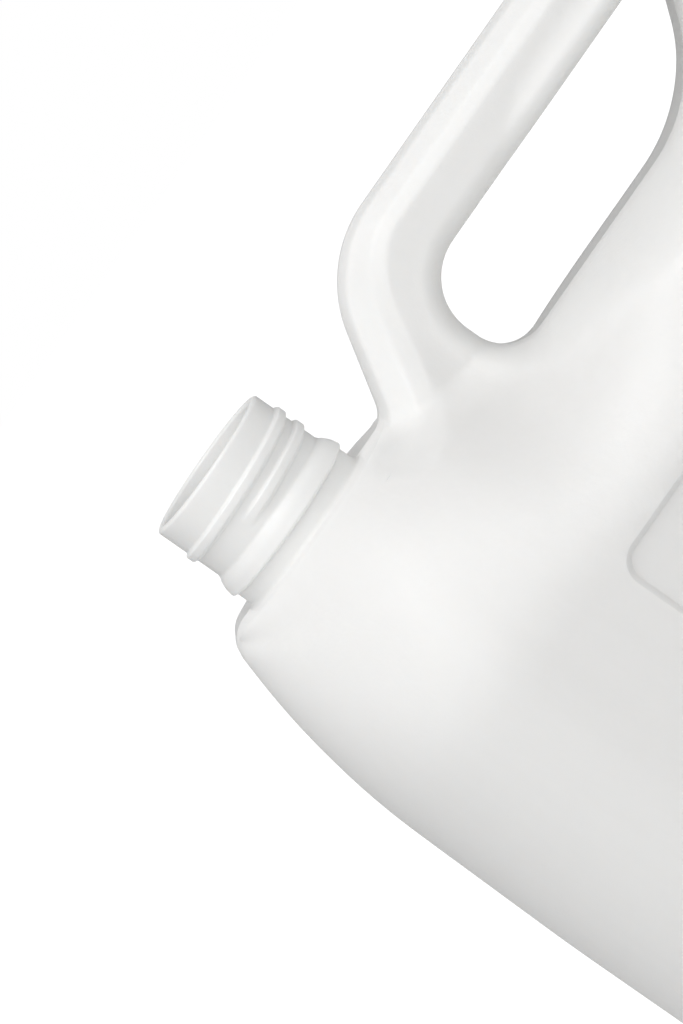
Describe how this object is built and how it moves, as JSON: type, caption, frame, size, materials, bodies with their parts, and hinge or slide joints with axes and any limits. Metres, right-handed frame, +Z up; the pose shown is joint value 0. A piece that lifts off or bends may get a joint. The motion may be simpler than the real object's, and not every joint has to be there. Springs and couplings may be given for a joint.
{
  "type": "liquid soap jug",
  "caption": "Hollow blow-moulded jug with a pouring neck at the front of the shoulder, an integral hollow grip over a finger hole, label recesses and a pushed-up base.",
  "frame": {"origin": "middle of the jug's box, on the floor that it stands on", "axes": "+X from the front wall and the neck towards the back wall and the grip, Y across the side walls, +Z up"},
  "size_m": [0.208, 0.12, 0.276],
  "materials": {
    "jug": "natural milky translucent polyethylene, satin"
  },
  "bodies": {
    "root": {"jug": "jug"}
  },
  "joints": []
}
